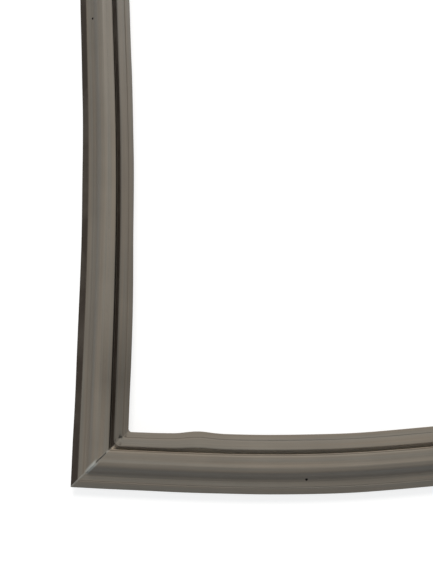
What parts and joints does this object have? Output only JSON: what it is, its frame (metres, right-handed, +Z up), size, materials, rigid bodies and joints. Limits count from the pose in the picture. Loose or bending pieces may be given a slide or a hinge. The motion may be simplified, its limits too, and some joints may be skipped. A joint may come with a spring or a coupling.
{
  "type": "refrigerator door gasket",
  "caption": "Rectangular soft PVC door gasket: mitre-welded profile with outer lip, magnetic pocket, bellows chamber, inner flap and a barbed dart underneath.",
  "frame": {"origin": "centre of the frame's bounding box, at the level of the land on the dart's tip that it lies on", "axes": "+X along the short legs, +Y along the long legs, +Z up, out of the magnetic face"},
  "size_m": [0.4806, 0.63, 0.0182],
  "materials": {
    "pvc": "satin, grimy in the creases",
    "magnetic_strip": "matt"
  },
  "bodies": {
    "root": {"gasket_frame": "pvc", "magnet_strip_bottom": "magnetic_strip", "magnet_strip_right": "magnetic_strip", "magnet_strip_top": "magnetic_strip", "magnet_strip_left": "magnetic_strip"}
  },
  "joints": []
}
